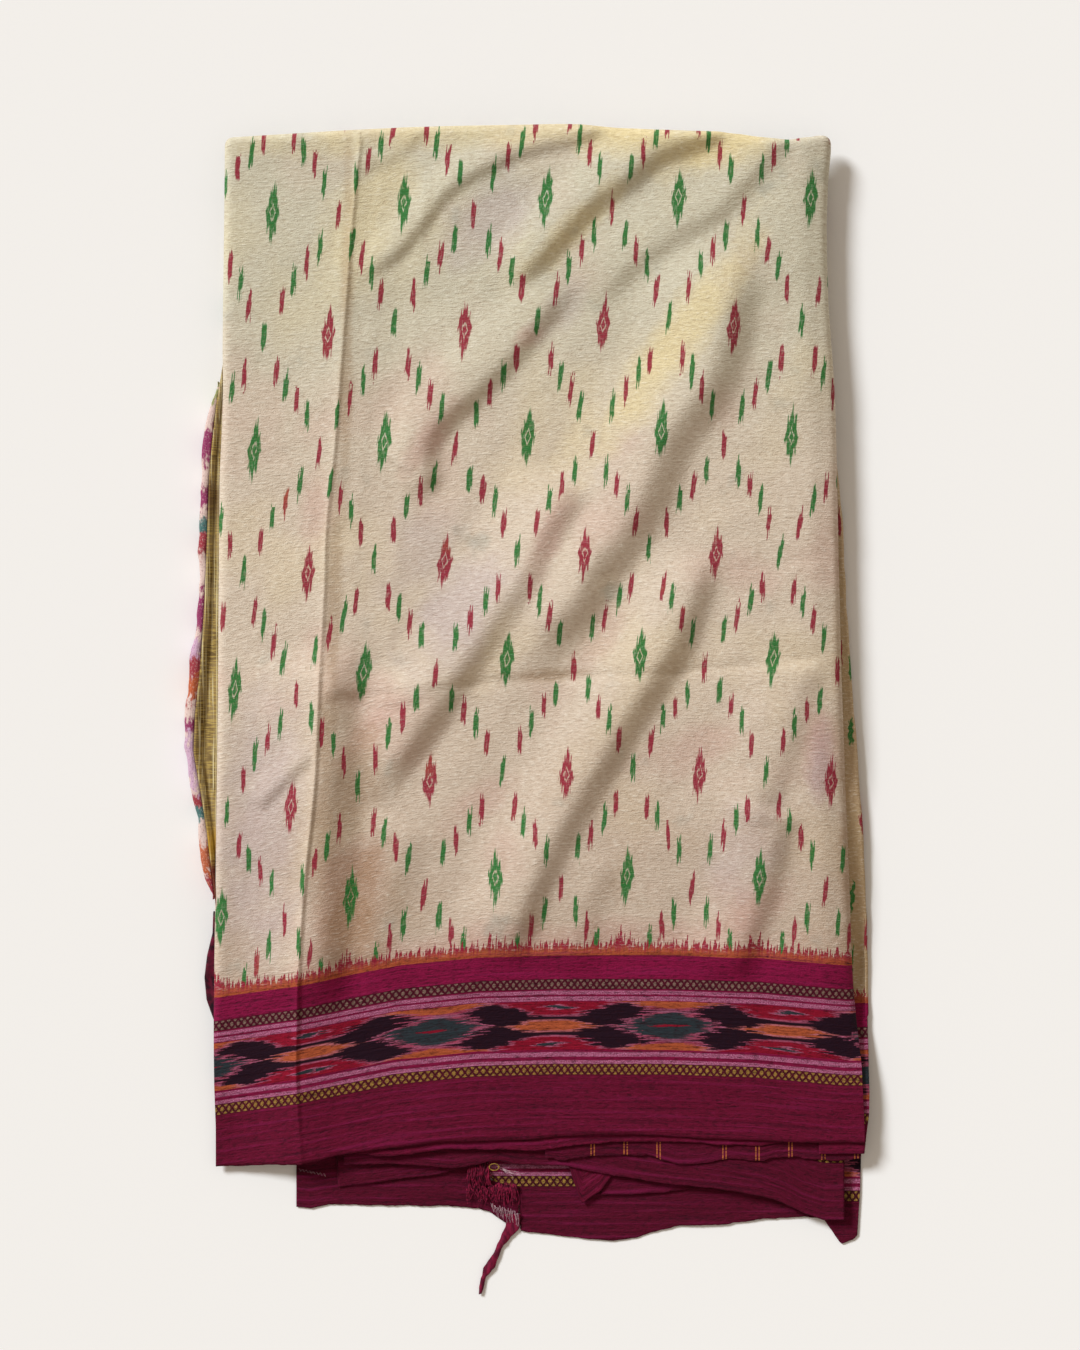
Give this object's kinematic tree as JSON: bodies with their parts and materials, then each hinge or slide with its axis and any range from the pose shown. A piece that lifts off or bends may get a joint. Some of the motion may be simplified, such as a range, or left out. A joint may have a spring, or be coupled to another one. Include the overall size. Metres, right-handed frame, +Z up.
{
  "type": "folded silk sari",
  "caption": "Folded silk sari lying flat: cream ikat field, wide maroon border, staggered hems below and a curled end piece at one side.",
  "frame": {"origin": "centre of the bundle's footprint, on the surface that it lies on", "axes": "+X along the sari's length, +Y from the hems up to the fold across the width, +Z up out of the cloth"},
  "size_m": [0.3873, 0.6625, 0.0234],
  "materials": {
    "field_cloth": "raw silk, soft sheen, ikat dyed",
    "border_cloth": "raw silk, soft sheen, maroon",
    "pallu_cloth": "loosely woven silk and metallic thread",
    "frayed_thread": "torn silk threads"
  },
  "bodies": {
    "root": {"front_panel": "field_cloth", "back_panel": "field_cloth", "folded_core": "field_cloth", "right_under_fold": "field_cloth", "pallu_reverse": "pallu_cloth", "pallu_curl": "pallu_cloth", "pallu_dark_fold": "pallu_cloth", "second_layer": "border_cloth", "gold_striped_layer": "border_cloth", "middle_layer": "border_cloth", "turned_corner": "border_cloth", "left_corner_layer": "border_cloth", "inner_right_layer": "border_cloth", "lowest_left_layer": "border_cloth", "lowest_right_layer": "border_cloth", "right_lower_fold": "border_cloth", "frayed_tuft": "frayed_thread", "frayed_tail": "frayed_thread"}
  },
  "joints": []
}
